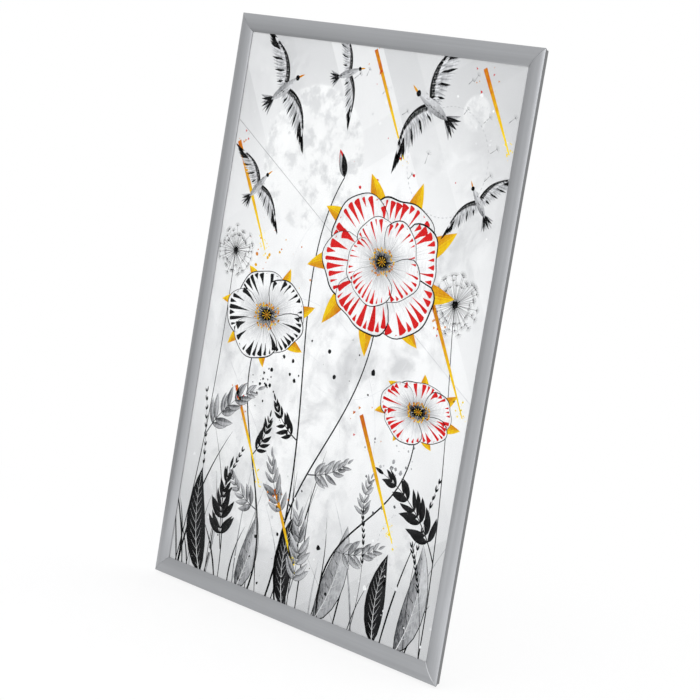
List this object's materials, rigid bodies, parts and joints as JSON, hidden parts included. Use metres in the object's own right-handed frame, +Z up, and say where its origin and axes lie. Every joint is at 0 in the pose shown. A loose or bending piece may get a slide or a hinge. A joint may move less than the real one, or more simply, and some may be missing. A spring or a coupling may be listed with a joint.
{
  "type": "snap frame",
  "caption": "Wall snap frame for a portrait poster: convex mitred aluminium rails hinge open on their outer edges over leaf springs and clamp the print under a clear cover.",
  "frame": {"origin": "centre of the frame on the wall plane, on which the backs of the base rails rest", "axes": "+X to the right seen from the front, +Y into the wall, so the front faces -Y, +Z up"},
  "size_m": [0.744, 0.0138, 1.044],
  "materials": {
    "snap_rail": "satin",
    "base_rail": "satin",
    "corner_key": "satin",
    "leaf_spring": "satin",
    "back_panel": "matte",
    "poster_print": "matte",
    "cover_sheet": "satin"
  },
  "bodies": {
    "base": {"base_rail_bottom": "base_rail", "base_rail_right": "base_rail", "base_rail_top": "base_rail", "base_rail_left": "base_rail", "corner_key_bottom_left": "corner_key", "corner_key_bottom_right": "corner_key", "corner_key_top_right": "corner_key", "corner_key_top_left": "corner_key", "back_panel": "back_panel", "poster_print": "poster_print", "cover_sheet": "cover_sheet", "leaf_spring_bottom_1": "leaf_spring", "leaf_spring_bottom_2": "leaf_spring", "leaf_spring_bottom_3": "leaf_spring", "leaf_spring_right_1": "leaf_spring", "leaf_spring_right_2": "leaf_spring", "leaf_spring_right_3": "leaf_spring", "leaf_spring_right_4": "leaf_spring", "leaf_spring_top_1": "leaf_spring", "leaf_spring_top_2": "leaf_spring", "leaf_spring_top_3": "leaf_spring", "leaf_spring_left_1": "leaf_spring", "leaf_spring_left_2": "leaf_spring", "leaf_spring_left_3": "leaf_spring", "leaf_spring_left_4": "leaf_spring"},
    "snap_rail_bottom": {"snap_rail_bottom": "snap_rail"},
    "snap_rail_right": {"snap_rail_right": "snap_rail"},
    "snap_rail_top": {"snap_rail_top": "snap_rail"},
    "snap_rail_left": {"snap_rail_left": "snap_rail"}
  },
  "joints": [
    {"name": "snap_rail_bottom_hinge", "type": "hinge", "parent": "base", "child": "snap_rail_bottom", "pos_m": [0, -0.007, -0.5186], "axis": [1, 0, 0], "range_deg": [0, 90], "deforming": ["leaf_spring_bottom_1", "leaf_spring_bottom_2", "leaf_spring_bottom_3"]},
    {"name": "snap_rail_right_hinge", "type": "hinge", "parent": "base", "child": "snap_rail_right", "pos_m": [0.3686, -0.007, 0], "axis": [0, 0, 1], "range_deg": [0, 90], "deforming": ["leaf_spring_right_1", "leaf_spring_right_2", "leaf_spring_right_3", "leaf_spring_right_4"]},
    {"name": "snap_rail_top_hinge", "type": "hinge", "parent": "base", "child": "snap_rail_top", "pos_m": [0, -0.007, 0.5186], "axis": [-1, 0, 0], "range_deg": [0, 90], "deforming": ["leaf_spring_top_1", "leaf_spring_top_2", "leaf_spring_top_3"]},
    {"name": "snap_rail_left_hinge", "type": "hinge", "parent": "base", "child": "snap_rail_left", "pos_m": [-0.3686, -0.007, 0], "axis": [0, 0, -1], "range_deg": [0, 90], "deforming": ["leaf_spring_left_1", "leaf_spring_left_2", "leaf_spring_left_3", "leaf_spring_left_4"]}
  ]
}
